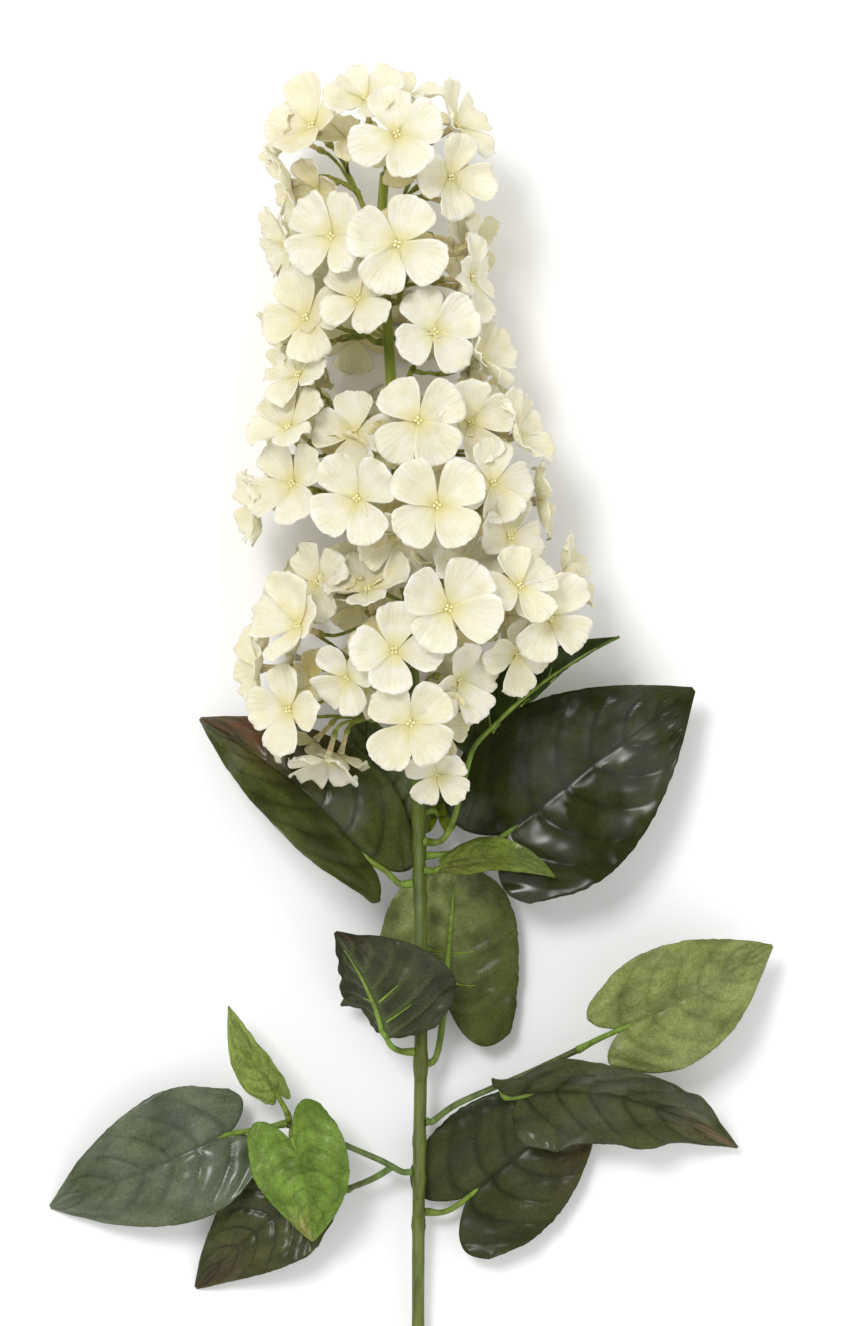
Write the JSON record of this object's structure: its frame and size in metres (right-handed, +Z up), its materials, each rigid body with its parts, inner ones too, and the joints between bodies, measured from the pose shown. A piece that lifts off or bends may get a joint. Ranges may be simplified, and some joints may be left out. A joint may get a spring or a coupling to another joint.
{
  "type": "lilac stem",
  "caption": "Cut lilac stem lying flat, with heart-shaped leaves on short side shoots and a tall loose head of cream four-petalled florets.",
  "frame": {"origin": "on the surface that the stem lies on, under the middle of the overall box", "axes": "+Y along the stem from the cut end to the tip of the flower head, +Z up from the surface, +X to the right seen from above with the head at the top"},
  "size_m": [0.2669, 0.523, 0.0881],
  "materials": {
    "stem_green": "satin",
    "leaf_green": "satin",
    "petal_cream": "matte"
  },
  "bodies": {
    "root": {"leaf_behind_left": "leaf_green", "leaf_behind_right": "leaf_green", "leaf_bright": "leaf_green", "leaf_centre_back": "leaf_green", "leaf_front_curled": "leaf_green", "leaf_left_far": "leaf_green", "leaf_left_low": "leaf_green", "leaf_right_far": "leaf_green", "leaf_right_long": "leaf_green", "leaf_right_low": "leaf_green", "leaf_small_right": "leaf_green", "leaf_small_upright": "leaf_green", "leaf_upper_folded": "leaf_green", "leaf_upper_left": "leaf_green", "leaf_upper_right": "leaf_green", "shoot_left": "stem_green", "shoot_right": "stem_green", "spray_bottom_front": "petal_cream", "spray_bottom_left": "petal_cream", "spray_bottom_right": "petal_cream", "spray_high_left": "petal_cream", "spray_high_right": "petal_cream", "spray_low_left": "petal_cream", "spray_low_right": "petal_cream", "spray_mid_front": "petal_cream", "spray_mid_left": "petal_cream", "spray_mid_right": "petal_cream", "spray_outer_left": "petal_cream", "spray_outer_right": "petal_cream", "spray_tip": "petal_cream", "spray_top_left": "petal_cream", "spray_top_right": "petal_cream", "spray_under_1": "petal_cream", "spray_under_2": "petal_cream", "spray_under_3": "petal_cream", "spray_under_4": "petal_cream", "spray_under_5": "petal_cream", "spray_under_6": "petal_cream", "spray_upper_left": "petal_cream", "spray_upper_right": "petal_cream", "spray_wide_front": "petal_cream", "spray_wide_left": "petal_cream", "spray_wide_right": "petal_cream", "stem": "stem_green"}
  },
  "joints": []
}
